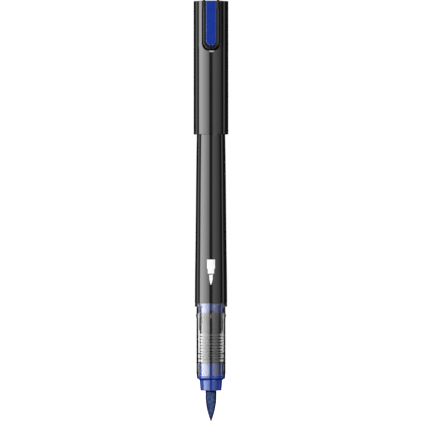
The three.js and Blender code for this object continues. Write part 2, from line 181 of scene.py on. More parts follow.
# Comb feed
DISC_LENGTH = 0.6
CORE_RADIUS = 3.12
FIN_RADIUS = 3.93
FIN_THICKNESS = 0.54
SEAL_PITCH = 0.87
FIN_PITCH = 1.066
FIN_COUNT = 9
SEAL_FINS = (0, 2)
SEAL_GAPS = 3
FIN_START = 1.1
# Painted light on the core: a lighter grey between the fins, and the radii over which it turns to the fins'
# black
CORE_PAINTED_LIGHT = 0.085
CORE_PAINTED_LIGHT_START, CORE_PAINTED_LIGHT_END = CORE_RADIUS + 0.1, CORE_RADIUS + 0.2
SLOT_HALF = 0.3
SLOT_FLOOR = 1.5
SLOT_SHARE = 0.6
DRUM_LENGTH = 6.095
DRUM_STEP = 1.15
DRUM_RADIUS = 4.27
DRUM_EDGE = 0.3
STUB_RADIUS = 1.3
STUB_LENGTH = 0.93
TAB_HALF = 1.3
TAB_PROUD = 0.03
TAB_DEPTH = 0.5
TAB_FOOT = 0.4
TAB_STRAIGHT, TAB_FLAT = 0.25, 0.42
LIQUID_GAP = 0.1
PAINT_SLOPE = 0.4

# Barrel: radius and distance from the front face
BARREL_PLACES = ((5.72, 0.0), (5.66, 9.4), (5.48, 22.2), (5.29, 41.0), (5.16, 52.0))
BARREL_POST_RADIUS = 5.05
BARREL_TAIL_RADIUS = 4.9
BARREL_TAIL_EDGE = 0.25
SOCKET_RADIUS = 5.08
SOCKET_DEPTH = 6.8
BORE_FRONT = 4.62
BORE_REAR = 4.1
END_PLUG_RADIUS = 4.7
END_PLUG_WALL = 1.0
END_PLUG_HEAD = 1.0
END_PLUG_FILLET, END_PLUG_EDGE = 0.2, 0.5

# Cap
CAP_BORE = 5.2
MOUTH_BORE = 5.12
MOUTH_LAND = 7.5
MOUTH_LAND_SLOPE = 0.2
RIM_ROUND = 0.18
GROOVE_DEPTH = 0.28
GROOVE_WIDTH = 2.2
CROWN_FLAT = 3.9
CROWN_ROUND = 0.6
CROWN_FILLET = 0.3
CROWN_WALL = 1.0
CROWN_ROOF = 1.6
CUP_LIP_RADIUS = 3.95
CUP_WIDER = 0.1
CUP_WALL = 0.6
CUP_LIP_LENGTH = 1.2
CUP_ROOF = 1.2
CUP_FILLET = 0.4

# Clip and its recess
CLIP_BACK = -6.55
CLIP_FACE_HALF = 2.79
CLIP_CROWN_RADIUS = 30.0
RAIL_ROUND, RAIL_BACK_ROUND = 0.04, 0.12
RAIL_TURN = 84
RAIL_SHARES = (0.9, 0.5, 0.1)
TOP_SUNK = 0.05
POCKET_HALF = 2.06
POCKET_FLOOR = -6.95
INLAY_FACE_HALF = 1.83
INLAY_ROUND = 0.22
INLAY_TURN = 86
INLAY_FACE_SHARE = 0.9
EAR_INNER = 2.05
EAR_WIDTH = 0.85
EAR_THICKNESS = 0.5
EAR_FOOT = 3.05
EAR_BEVEL = 0.12
EAR_CHAMFER = 0.3
ROOT_HALF = 2.0
ROOT_LENGTH = 2.4
ROOT_BACK = -5.95
ROOT_SUNK = 0.2
CLIP_BEAD_RADIUS = 0.55
CLIP_BEAD_HALF = 1.3
CLIP_BEAD_SETBACK = 1.9
CLIP_BEAD_ROUND = 0.25
CLIP_BEAD_TURNS = (0.4, 0.8, 1.2, math.pi / 2)
CLIP_BEAD_LEAST = 0.02
RECESS_DEPTH = 0.6
RECESS_HALF = 3.32
RECESS_PAST = 1.02
RECESS_SIDE_LIP, RECESS_TIP_LIP = 0.04, 0.6
RECESS_SIDE_RAMP, RECESS_TIP_RAMP = 0.1, 1.0
RECESS_LIP_TILT = 7.2
RECESS_LIP_POWER = 8
RECESS_FIELD = 1.1
RECESS_BELOW = 0.5

# Where the rows of the recess's mesh lie, as shares of its floor, ramp, lip and field
FLOOR_SHARES = (0.0, 0.35, 0.7, 0.95)
RAMP_SHARES = (1.0, 0.95, 0.65, 0.35, 0.05, 0.0)
LIP_SHARES = (0.96, 0.5, 0.06, 0.0)
FIELD_SHARES = (0.08, 0.5, 1.0)

# Printed nib sign: how far its top is from the barrel's front, and its (distance from the top, half width)
SIGN_TOP = 15.6
SIGN_HOLDER = ((0.0, 1.42), (3.0, 1.42), (3.6, 1.12), (5.0, 1.12))
SIGN_NIB = ((5.35, 0.62), (7.0, 0.6), (8.1, 0.36), (9.0, 0.04))
SIGN_PROUD = 0.012
SIGN_SUNK = 0.03


# Outlines


def rounded(points, steps=FILLET_STEPS):
    """An outline whose corners (radius, z, fillet) become arcs, with a point just past each end of an arc."""
    made = []
    count = len(points)
    for i, point in enumerate(points):
        here = Vector(point[:2])
        fillet = point[2] if len(point) > 2 else 0.0
        if fillet <= 0:
            made.append(tuple(here))
            continue
        to_last = Vector(points[i - 1][:2]) - here
        to_next = Vector(points[(i + 1) % count][:2]) - here
        room = min(to_last.length, to_next.length)
        a, b = to_last.normalized(), to_next.normalized()
        half = math.acos(max(-1.0, min(1.0, a.dot(b)))) / 2
        reach = min(fillet / math.tan(half), FILLET_REACH * room)
        radius = reach * math.tan(half)
        centre = here + (a + b).normalized() * (radius / math.sin(half))
        start, end = here + a * reach - centre, here + b * reach - centre
        turn = start.angle_signed(end)
        guard = GUARD_SHARE * min(radius, room - reach)
        made.append(tuple(here + a * (reach + guard)))
        for k in range(steps + 1):
            angle = -turn * k / steps
            c, s = math.cos(angle), math.sin(angle)
            made.append((centre.x + start.x * c - start.y * s, centre.y + start.x * s + start.y * c))
        made.append(tuple(here + b * (reach + guard)))
    return made


def catmull(points, steps):
    """Points of a smooth line through the given ones, steps for each stretch."""
    made = []
    last = len(points) - 1
    for i in range(last):
        p0, p1 = Vector(points[max(i - 1, 0)]), Vector(points[i])
        p2, p3 = Vector(points[i + 1]), Vector(points[min(i + 2, last)])
        for k in range(steps):
            t = k / steps
            made.append(tuple(0.5 * (2 * p1 + (p2 - p0) * t + (2 * p0 - 5 * p1 + 4 * p2 - p3) * t**2
                                     + (3 * p1 - p0 - 3 * p2 + p3) * t**3)))
    made.append(tuple(points[last]))
    return made


# Meshes


def new_object(name, verts, faces, material):
    """An object in the scene from points in millimetres."""
    mesh = bpy.data.meshes.new(name)
    mesh.from_pydata([(x * MM, y * MM, z * MM) for x, y, z in verts], [], faces)
    mesh.materials.append(material)
    obj = bpy.data.objects.new(name, mesh)
    scene.collection.objects.link(obj)
    return obj


def piece(name, verts, faces, material, body, nodes=(), slot=None, sharp=SHARP_ANGLE):
    """A smooth-shaded piece that rides on body and stands for the CAD nodes."""
    obj = new_object(name, verts, faces, material)
    mesh = obj.data
    work = bmesh.new()
    work.from_mesh(mesh)
    bmesh.ops.remove_doubles(work, verts=work.verts, dist=MERGE_DISTANCE)
    bmesh.ops.dissolve_degenerate(work, edges=work.edges, dist=LEAST_EDGE)
    bmesh.ops.recalc_face_normals(work, faces=work.faces)
    work.to_mesh(mesh)
    work.free()
    mesh.polygons.foreach_set("use_smooth", [True] * len(mesh.polygons))
    mesh.set_sharp_from_angle(angle=math.radians(sharp))
    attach(obj, body)
    if nodes:
        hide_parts(*nodes)
    return obj


def around(r, turn, z):
    """The point at a radius and height, turned about the axis from the front."""
    return (r * math.sin(turn), -r * math.cos(turn), z)


def quarter(steps=RIM_STEPS):
    """The angles of a quarter turn, from 0, in radians."""
    return [math.pi / 2 * k / steps for k in range(steps + 1)]


def half_turn():
    """The angles of a round lower end, from the left side to the right, in radians."""
    return [math.pi + math.pi * k / ARC_STEPS for k in range(ARC_STEPS + 1)]


def even(start, end, count):
    """Places from start on, in count even steps towards end, which isn't one of them."""
    return [start + (end - start) * k / count for k in range(count)]


def turned(profile, closed=False, sides=SIDES):
    """Points and faces of a profile turned about the axis. It starts and ends on the axis, or is closed."""
    verts, faces, rings = [], [], []
    for r, z in profile:
        if r < ON_AXIS:
            rings.append([len(verts)] * sides)
            verts.append((0.0, 0.0, z))
        else:
            rings.append(list(range(len(verts), len(verts) + sides)))
            verts.extend(around(r, 2 * math.pi * k / sides, z) for k in range(sides))
    pairs = list(zip(rings, rings[1:]))
    if closed:
        pairs.append((rings[-1], rings[0]))
    for a, b in pairs:
        for k in range(sides):
            n = (k + 1) % sides
            corners = [a[k], a[n], b[n], b[k]]
            face = [c for i, c in enumerate(corners) if c != corners[i - 1]]
            if len(face) > 2:
                faces.append(face)
    return verts, faces


def slotted(profile, half, floor):
    """A closed profile turned about the axis, cut at the back from -half to half and from floor outwards."""
    rows = []
    for r, z in profile:
        edge = math.pi - math.asin(half / r)
        row = [around(r, edge * (2 * k / SIDES - 1), z) for k in range(SIDES + 1)]
        if r > floor:
            row += [(x, floor, z) for x in (half, 0.0, -half)]
        else:
            row += [(x, math.sqrt(r * r - x * x), z) for x in (SLOT_SHARE * half, 0.0, -SLOT_SHARE * half)]
        rows.append(row)
    return loft([*rows, rows[0]], closed=True)


def joined(*shells):
    """Several shells as one list of points and one of faces."""
    verts, faces = [], []
    for more_verts, more_faces in shells:
        start = len(verts)
        verts.extend(more_verts)
        faces.extend([[i + start for i in f] for f in more_faces])
    return verts, faces


def loft(rows, closed=False):
    """Points and faces of a skin between rows of equally many points."""
    verts = [p for row in rows for p in row]
    wide = len(rows[0])
    faces = []
    for j in range(len(rows) - 1):
        for i in range(wide if closed else wide - 1):
            n = (i + 1) % wide
            faces.append([j * wide + i, j * wide + n, (j + 1) * wide + n, (j + 1) * wide + i])
    return verts, faces


def with_ends(verts, faces, wide):
    """A skin with faces over its first row and its last, both wide points long."""
    return verts, [*faces, list(range(wide)), list(range(len(verts) - wide, len(verts)))]


def stadium_sweep(section, centre, top):
    """A section of (distance from the middle plane, y), swept down one side, round and up the other."""
    path = [[(-d, y, z) for d, y in section] for z in even(top, centre, CAP_ROWS)]
    for a in half_turn():
        path.append([(d * math.cos(a), y, centre + d * math.sin(a)) for d, y in section])
    for j in range(1, CAP_ROWS + 1):
        path.append([(d, y, centre + (top - centre) * j / CAP_ROWS) for d, y in section])
    return with_ends(*loft(path), len(section))


def bevelled(verts, faces, width):
    """The same solid with rounded edges. A frame in each large flat keeps its shading flat."""
    mesh = bpy.data.meshes.new("work")
    mesh.from_pydata(verts, [], faces)
    work = bmesh.new()
    work.from_mesh(mesh)
    bmesh.ops.recalc_face_normals(work, faces=work.faces)
    edges = [e for e in work.edges if e.calc_face_angle(0) > math.radians(BEVEL_ANGLE)]
    bmesh.ops.bevel(work, geom=edges, offset=width, segments=BEVEL_STEPS, profile=0.5, affect="EDGES",
                    clamp_overlap=True)
    flats = [f for f in work.faces if f.calc_area() > (LARGE_FLAT * width) ** 2]
    bmesh.ops.inset_individual(work, faces=flats, thickness=FRAME_SHARE * width, use_even_offset=True)
    work.verts.index_update()
    made = [tuple(v.co) for v in work.verts], [[v.index for v in f.verts] for f in work.faces]
    work.free()
    bpy.data.meshes.remove(mesh)
    return made


def extruded(outline, left, right):
    """A solid whose side outline of (y, z) points runs from x = left to x = right."""
    count = len(outline)
    verts = [(left, y, z) for y, z in outline] + [(right, y, z) for y, z in outline]
    faces = [list(range(count)), list(range(2 * count - 1, count - 1, -1))]
    for i in range(count):
        n = (i + 1) % count
        faces.append([i, n, count + n, count + i])
    return verts, faces


def wrapped(rows, radius_at, inner, outer):
    """A thin solid on a round surface, from rows of (z, left x, right x) and two offsets of the radius."""
    loops = []
    for z, left, right in rows:
        r = radius_at(z)
        turns = [math.asin((left + (right - left) * i / WRAP_COLUMNS) / r) for i in range(WRAP_COLUMNS + 1)]
        front, back = ([around(r + offset, a, z) for a in turns] for offset in (outer, inner))
        loops.append(front + back[::-1])
    verts, faces = loft(loops, closed=True)
    wide = len(loops[0])
    for start in (0, len(verts) - wide):
        for i in range(WRAP_COLUMNS):
            faces.append([start + i, start + i + 1, start + wide - 2 - i, start + wide - 1 - i])
    return verts, faces


# Finishes

# The stretch of a pattern that shows, the sockets of a node that mixes colours, and of one that mixes numbers
PATTERN_LOW, PATTERN_HIGH = 0.3, 0.7
MIX_FIRST, MIX_SECOND, MIX_RESULT = 6, 7, 2
MIX_FIRST_NUMBER, MIX_SECOND_NUMBER = 2, 3


def add(tree, kind, links=None, **values):
    """A node, with its properties and input values, and links from other nodes' outputs into its inputs."""
    made = tree.nodes.new(kind)
    for key, value in values.items():
        if hasattr(made, key):
            setattr(made, key, value)
        else:
            made.inputs[key.replace("_", " ")].default_value = value
    for key, source in (links or {}).items():
        tree.links.new(source, made.inputs[key])
    return made


def maths(tree, operation, *values):
    """A maths node, with numbers or other nodes' outputs as its inputs."""
    made = add(tree, "ShaderNodeMath", operation=operation)
    for socket, value in zip(made.inputs, values):
        if isinstance(value, (int, float)):
            socket.default_value = value
        else:
            tree.links.new(value, socket)
    return made.outputs[0]


def times(tree, a, b):
    return maths(tree, "MULTIPLY", a, b)


def plus(tree, a, b):
    return maths(tree, "ADD", a, b)


def principled(name, colour, roughness, **sockets):
    """A new material and its shader, with plain values on the shader's own sockets."""
    material = bpy.data.materials.new(name)
    material.use_nodes = True
    shader = material.node_tree.nodes["Principled BSDF"]
    for key, value in {"Base_Color": (*colour, 1.0), "Roughness": roughness, **sockets}.items():
        shader.inputs[key.replace("_", " ")].default_value = value
    return material, material.node_tree, shader


def noise(tree, scale, detail=3.0, roughness=0.5, stretch=(1, 1, 1)):
    """A noise pattern fixed to the piece, with scale in waves to a millimetre."""
    place = add(tree, "ShaderNodeTexCoord")
    size = tuple(scale / MM * s for s in stretch)
    mapping = add(tree, "ShaderNodeMapping", {"Vector": place.outputs["Object"]}, Scale=size)
    pattern = add(tree, "ShaderNodeTexNoise", {"Vector": mapping.outputs["Vector"]}, Scale=1.0, Detail=detail,
                  Roughness=roughness)
    return pattern.outputs["Fac"]


def shades(tree, source, stops):
    """A ramp over source, with stops of (place, colour or grey)."""
    ramp = add(tree, "ShaderNodeValToRGB", {"Fac": source})
    line = ramp.color_ramp
    while len(line.elements) < len(stops):
        line.elements.new(0.5)
    for element, (place, value) in zip(line.elements, stops):
        element.position = place
        element.color = (*value, 1.0) if hasattr(value, "__len__") else (value, value, value, 1.0)
    return ramp.outputs["Color"]


def mottled(tree, source, low_shade, high_shade):
    """A colour between two, following source."""
    return shades(tree, source, ((PATTERN_LOW, low_shade), (PATTERN_HIGH, high_shade)))


def spread(tree, source, low_value, high_value):
    """A number between two, following source."""
    made = add(tree, "ShaderNodeMapRange", {"Value": source}, From_Min=PATTERN_LOW, From_Max=PATTERN_HIGH,
               To_Min=low_value, To_Max=high_value)
    return made.outputs["Result"]


def bump(tree, shader, source, height, strength):
    """Relief on the shader, height in millimetres."""
    relief = add(tree, "ShaderNodeBump", {"Height": source}, Strength=strength, Distance=height * MM)
    dress(tree, shader, Normal=relief.outputs["Normal"])


def dress(tree, shader, **patterns):
    """Links patterns into the shader's sockets."""
    for key, source in patterns.items():
        tree.links.new(source, shader.inputs[key.replace("_", " ")])


def black_gloss():
    """Polished black moulding: a deep black with a faint haze and a very slight flow ripple."""
    material, tree, shader = principled("black_gloss", (0.0035, 0.0035, 0.0038), 0.04, IOR=1.8)
    haze = noise(tree, 0.35, detail=4, roughness=0.6, stretch=(1, 1, 0.25))
    dress(tree, shader, Roughness=spread(tree, haze, 0.025, 0.06),
          Base_Color=mottled(tree, haze, (0.0025, 0.0025, 0.0028), (0.0045, 0.0045, 0.0048)))
    ripple = noise(tree, 0.12, detail=2, roughness=0.4, stretch=(1, 1, 0.12))
    bump(tree, shader, ripple, height=0.004, strength=0.2)
    return material


def clear_plastic():
    """Clear moulding with real walls, slightly uneven where the melt flowed."""
    material, tree, shader = principled("clear_plastic", (0.985, 0.988, 0.992), 0.01, IOR=1.5,
                                        Transmission_Weight=1.0, Coat_Weight=0.85, Coat_Roughness=0.01)
    flow = noise(tree, 0.2, detail=2, roughness=0.4, stretch=(1, 1, 0.3))
    dress(tree, shader, Roughness=spread(tree, flow, 0.005, 0.02))
    return material


def blue_plastic(name, gloss):
    """Deep blue plastic with a faintly uneven depth of colour. Gloss is its roughness, low and high."""
    material, tree, shader = principled(name, (0.004, 0.030, 0.29), gloss[0], IOR=1.92,
                                        Specular_Tint=(0.74, 0.84, 1.0, 1.0))
    depth = noise(tree, 0.4)
    dress(tree, shader, Base_Color=mottled(tree, depth, (0.003, 0.026, 0.27), (0.005, 0.034, 0.31)),
          Roughness=spread(tree, depth, *gloss))
    return material


def comb_black():
    """Black moulded feed: satin, with fine tool marks along the fins. Its core is painted a lighter grey than
    its fins, a painted light that stands for light between the fins.
    """
    material, tree, shader = principled("feed_black", (0.0015, 0.0015, 0.0017), 0.35, IOR=1.12,
                                        Specular_IOR_Level=0.2)
    marks = noise(tree, 1.5, stretch=(0.3, 0.3, 3))
    dress(tree, shader, Roughness=spread(tree, marks, 0.25, 0.45))
    # Painted light: the core between the fins is a lighter grey than the fins, by radius
    place = add(tree, "ShaderNodeTexCoord")
    across = add(tree, "ShaderNodeVectorMath", {0: place.outputs["Object"]}, operation="MULTIPLY")
    across.inputs[1].default_value = (1.0, 1.0, 0.0)
    radius = add(tree, "ShaderNodeVectorMath", {0: across.outputs[0]}, operation="LENGTH").outputs["Value"]
    outside = smooth_step(tree, radius, CORE_PAINTED_LIGHT_START * MM, CORE_PAINTED_LIGHT_END * MM)
    shade = add(tree, "ShaderNodeMix", {"Factor": outside}, data_type="RGBA")
    shade.inputs[MIX_FIRST].default_value = (CORE_PAINTED_LIGHT, CORE_PAINTED_LIGHT, CORE_PAINTED_LIGHT, 1.0)
    tree.links.new(mottled(tree, marks, 0.001, 0.0025), shade.inputs[MIX_SECOND])
    dress(tree, shader, Base_Color=shade.outputs[MIX_RESULT])
    return material


def felt(name, dark, middle, light, shade_from):
    """Speckled bonded fibre with short strands, with painted shade that darkens it above a given height. A
    film of ink darkens its sides.
    """
    material, tree, shader = principled(name, middle, 0.6, IOR=1.25, Specular_IOR_Level=0.3,
                                        Subsurface_Weight=0.2, Subsurface_Radius=(1.0, 1.0, 1.0),
                                        Subsurface_Scale=FIBRE_SCATTER * MM, Coat_Weight=1.0,
                                        Coat_Roughness=0.5, Coat_IOR=INK_FILM_IOR, Coat_Tint=(*INK_FILM, 1.0))
    speckle = noise(tree, 1.05, roughness=0.75, stretch=(1, 1, 0.8))
    strands = noise(tree, 5.0, detail=2, roughness=0.6, stretch=(1, 1, 0.15))
    both = plus(tree, times(tree, speckle, SPECKLE_SHARE), strands)
    mixed = times(tree, both, 1 / (SPECKLE_SHARE + 1))
    fibres = shades(tree, mixed, ((0.5 - SPECKLE_SPREAD, dark), (0.5, middle), (0.5 + SPECKLE_SPREAD, light)))
    # Painted shade: above the given height the fibres turn to a darker copy of their dark colour, where the
    # nib goes into the nose and at the wick's top
    place = add(tree, "ShaderNodeTexCoord")
    along = add(tree, "ShaderNodeSeparateXYZ", {"Vector": place.outputs["Object"]}).outputs["Z"]
    painted_shade = smooth_step(tree, along, (shade_from - PAINTED_SHADE_FADE) * MM, shade_from * MM)
    shaded_fibres = add(tree, "ShaderNodeMix", {"Factor": painted_shade, MIX_FIRST: fibres}, data_type="RGBA")
    shaded_fibres.inputs[MIX_SECOND].default_value = (*(c * PAINTED_SHADE_LEVEL for c in dark), 1.0)
    dress(tree, shader, Base_Color=shaded_fibres.outputs[MIX_RESULT], Roughness=spread(tree, mixed, 0.65, 0.45))
    bump(tree, shader, mixed, height=0.25, strength=1.0)
    return material


def inner_white():
    """Natural white moulding of the inner cup."""
    material, tree, shader = principled("inner_white", (0.68, 0.68, 0.65), 0.45)
    cloud = noise(tree, 0.5, detail=4, roughness=0.6)
    dress(tree, shader, Base_Color=mottled(tree, cloud, (0.62, 0.62, 0.59), (0.72, 0.72, 0.69)),
          Roughness=spread(tree, cloud, 0.38, 0.55))
    return material


def print_white():
    """Opaque white print, very slightly uneven in cover."""
    material, tree, shader = principled("print_white", (0.9, 0.9, 0.9), 0.4)
    cover = noise(tree, 2.0, roughness=0.6)
    dress(tree, shader, Base_Color=mottled(tree, cover, 0.84, 0.93))
    return material


# Pieces of the pen


def nib_profile():
    """From the tip: the brush's flank, the straight shank and the tail in the nose."""
    points = [(0.0, nib_tip)]
    for i in range(1, NIB_STEPS + 1):
        share = (i / NIB_STEPS) ** NIB_CROWDING
        points.append((nib_skin * (1 - (1 - share) ** NIB_POWER), nib_tip + NIB_TAPER * share))
    points += [(nib_skin, cone_front - SOFT), (nib_radius, cone_front + NIB_STEP_LENGTH)]
    return points + [(nib_radius, nib_end - SOFT), (nib_radius - SOFT, nib_end), (0.0, nib_end)]


def nose_profile():
    """The bore, the cone's rounded front and full flank, the shoulder, the flange and the stepped plug."""
    bore = nib_radius + PRESS_GAP
    cone_back = cone_front + CONE_LENGTH - SKIN
    flange = cone_back + SHOULDER_LENGTH - SKIN / 2
    seat = cone_front + CONE_LENGTH + SHOULDER_LENGTH + FLANGE_LENGTH
    step = seat + PLUG_STEP_SETBACK
    start = Vector((CONE_FRONT_RADIUS, cone_front))
    pull = Vector((CONE_BACK_RADIUS, cone_front + CONE_LENGTH * CONE_FULLNESS))
    end = Vector((CONE_BACK_RADIUS, cone_back))
    flank = [start * (1 - t) ** 2 + pull * 2 * t * (1 - t) + end * t**2 for t in FLANK_SHARES]
    return rounded([
        (bore, cone_front + CONE_MOUTH_LENGTH),
        (nib_skin + PRESS_GAP, cone_front, SOFT),
        (CONE_FRONT_RADIUS - LEAST_STEP, cone_front, CONE_EDGE),
        *[(p.x, p.y) for p in flank],
        (CONE_BACK_RADIUS, cone_back, CONE_SHOULDER_FILLET),
        (flange_radius, flange - LEAST_STEP, FLANGE_EDGE),
        (flange_radius, seat, HAIRLINE),
        (seal_radius, seat),
        (seal_radius, step, PLUG_STEP_EDGE),
        (seal_radius - PLUG_STEP, step + HAIRLINE),
        (seal_radius - PLUG_STEP, plug_end, PLUG_END_EDGE),
        (bore, plug_end, NEAT),
    ])


def section_profile():
    """The clear tube with its snap bead, collar and spigot."""
    collar_face = section_front + SECTION_LENGTH
    collar_back = collar_face + COLLAR_LENGTH
    bead = collar_face - BEAD_SETBACK
    hump = []
    for k in range(BEAD_STEPS + 1):
        t = 2 * k / BEAD_STEPS - 1
        swell = BEAD_HEIGHT * (1 + math.cos(math.pi * t)) / 2
        hump.append((SECTION_RADIUS + swell, bead + BEAD_WIDTH / 2 * t))
    return rounded([
        (SECTION_BORE, section_front, CRISP),
        (SECTION_RADIUS, section_front, NEAT),
        *hump,
        (SECTION_RADIUS, collar_face, NEAT),
        (collar_radius, collar_face, COLLAR_EDGE),
        (collar_radius, collar_back, COLLAR_BACK_EDGE),
        (SPIGOT_RADIUS, collar_back),
        (SPIGOT_RADIUS, section_end, SOFT),
        (SECTION_BORE, section_end, CRISP),
    ])


def comb_profile():
    """The comb's front disc, core, fins, drum and stub, with soft moulded edges, and where the drum ends."""
    bore = wick_radius + PRESS_GAP
    disc_back = comb_front + DISC_LENGTH
    points = [
        (bore, comb_front),
        (seal_radius, comb_front, CRISP),
        (seal_radius, disc_back, CRISP),
        (CORE_RADIUS, disc_back, SOFT),
    ]
    for i in range(FIN_COUNT):
        radius = seal_radius if i in SEAL_FINS else FIN_RADIUS
        near = disc_back + FIN_START - FIN_THICKNESS / 2
        near += min(i, SEAL_GAPS) * SEAL_PITCH + max(0, i - SEAL_GAPS) * FIN_PITCH
        far = near + FIN_THICKNESS
        points += [
            (CORE_RADIUS, near, NEAT),
            (radius, near + HAIRLINE, SOFT),
            (radius, far - HAIRLINE, SOFT),
            (CORE_RADIUS, far, NEAT),
        ]
    drum_back = stub_end - STUB_LENGTH
    drum_front = drum_back - DRUM_LENGTH
    points += [
        (CORE_RADIUS, drum_front - DRUM_STEP, NEAT),
        (FIN_RADIUS, drum_front - DRUM_STEP, SOFT),
        (FIN_RADIUS, drum_front, HAIRLINE),
        (DRUM_RADIUS, drum_front, SOFT),
        (DRUM_RADIUS, drum_back, DRUM_EDGE),
        (STUB_RADIUS, drum_back, NEAT),
        (STUB_RADIUS, stub_end, FULL),
        (bore, stub_end),
    ]
    return rounded(points, COMB_FILLET_STEPS), drum_back


def tab(drum_back):
    """A round-topped tongue that stands on the drum's rear edge against the clear wall."""
    rise = stub_end - drum_back
    rows = [(drum_back - TAB_FOOT, -TAB_HALF, TAB_HALF)]
    for turn in quarter(TAB_STEPS):
        half = TAB_HALF * (TAB_FLAT + (1 - TAB_FLAT) * math.cos(turn))
        rows.append((drum_back + rise * (TAB_STRAIGHT + (1 - TAB_STRAIGHT) * math.sin(turn)), -half, half))
    return wrapped(rows, lambda z: SECTION_BORE - PRESS_GAP, -TAB_DEPTH, TAB_PROUD)


def paint_profile():
    """The paint behind the drum: in the clear section, and up the barrel's bore."""
    inside = SECTION_BORE - PRESS_GAP
    step = section_end + LIQUID_GAP
    return rounded([
        (0.0, wick_end + LIQUID_GAP),
        (STUB_RADIUS + LIQUID_GAP, wick_end + LIQUID_GAP),
        (STUB_RADIUS + LIQUID_GAP, paint_front),
        (inside, paint_front, HAIRLINE),
        (inside, step),
        (BORE_REAR, step + PAINT_SLOPE),
        (BORE_REAR - LIQUID_GAP, paint_end),
        (0.0, paint_end),
    ])


def barrel_line():
    """The barrel's outer line, from its front face to the posted cap's mouth."""
    places = [(r + SKIN / 2, barrel_front + d) for r, d in BARREL_PLACES] + [(BARREL_POST_RADIUS, cap_mouth)]
    return catmull(places, BARREL_STEPS)


def barrel_radius(z):
    line = barrel_line()
    for (r0, z0), (r1, z1) in zip(line, line[1:]):
        if z0 <= z <= z1:
            return r0 + (r1 - r0) * (z - z0) / (z1 - z0)
    return line[-1][0]


def barrel_profile():
    socket_end = barrel_front + SOCKET_DEPTH
    line = barrel_line()
    return rounded([
        (SOCKET_RADIUS, barrel_front, HAIRLINE),
        (*line[0], CRISP),
        *line[1:],
        (BARREL_TAIL_RADIUS, barrel_back, BARREL_TAIL_EDGE),
        (BORE_REAR, barrel_back, NEAT),
        (BORE_FRONT, socket_end),
        (SOCKET_RADIUS, socket_end),
    ])


def end_plug_profile():
    head = end_plug_top - END_PLUG_HEAD
    spigot = BORE_REAR - PRESS_GAP
    return rounded([
        (0.0, head - END_PLUG_WALL),
        (spigot - END_PLUG_WALL, head - END_PLUG_WALL, END_PLUG_FILLET),
        (spigot - END_PLUG_WALL, end_plug_low, NEAT),
        (spigot, end_plug_low, FULL),
        (spigot, head),
        (END_PLUG_RADIUS, head, CRISP),
        (END_PLUG_RADIUS, end_plug_top, END_PLUG_EDGE),
        (0.0, end_plug_top),
    ])


def sign_rows():
    """Rows (z, left, right) of the printed sign: a plain holder with one step, and a pointed nib under it."""
    top = barrel_front + SIGN_TOP
    return [[(top - d, -half, half) for d, half in fine_rows(part)] for part in (SIGN_HOLDER, SIGN_NIB)]


def fine_rows(rows):
    """The same rows of (distance, half width) with more between them."""
    made = []
    for (d0, w0), (d1, w1) in zip(rows, rows[1:]):
        count = max(1, math.ceil((d1 - d0) / SIGN_ROW_STEP))
        made += [(d0 + (d1 - d0) * k / count, w0 + (w1 - w0) * k / count) for k in range(count)]
    return made + [rows[-1]]


# Pieces of the cap


def recess_places(lip, ramp):
    """Places from the recess's middle to the field outside it, as distances outside its edge."""
    floor_places = [-RECESS_HALF + (RECESS_HALF - lip - ramp) * share for share in FLOOR_SHARES]
    ramp_places = [-lip - ramp * share for share in RAMP_SHARES]
    lip_places = [-lip * share for share in LIP_SHARES]
    return floor_places + ramp_places + lip_places + [RECESS_FIELD * share for share in FIELD_SHARES]


def recess_drop(d, lip, ramp):
    """How far the recess's surface lies under the cap's, at a distance d outside its edge."""
    tilt = math.tan(math.radians(RECESS_LIP_TILT))
    if d >= -lip:
        return max(0.0, -d * tilt)
    if d <= -lip - ramp:
        return RECESS_DEPTH
    return lip * tilt + (RECESS_DEPTH - lip * tilt) * (-d - lip) / ramp


def on_cap(x, z, drop=0.0):
    """A point on the cap's round face at x across and z up, under the surface by drop."""
    return around(cap_radius - drop, math.asin(x / cap_radius), z)


def rim_rows(end, inward):
    """Rows (z, drop) of the rounded rim at one end of the cap's tube."""
    return [(end + inward * RIM_ROUND * (1 - math.sin(a)), RIM_ROUND * (1 - math.cos(a))) for a in quarter()]


def recess_arc(turn, centre):
    """One row of the recess's round lower end, from its middle outwards. Turn 1.5 pi is straight down."""
    down_share = -math.sin(turn)
    lip = RECESS_SIDE_LIP + (RECESS_TIP_LIP - RECESS_SIDE_LIP) * down_share**RECESS_LIP_POWER
    ramp = RECESS_SIDE_RAMP + (RECESS_TIP_RAMP - RECESS_SIDE_RAMP) * max(0.0, down_share)
    row = []
    for d in recess_places(lip, ramp):
        r = RECESS_HALF + d
        row.append(on_cap(r * math.cos(turn), centre + r * math.sin(turn), recess_drop(d, lip, ramp)))
    return row


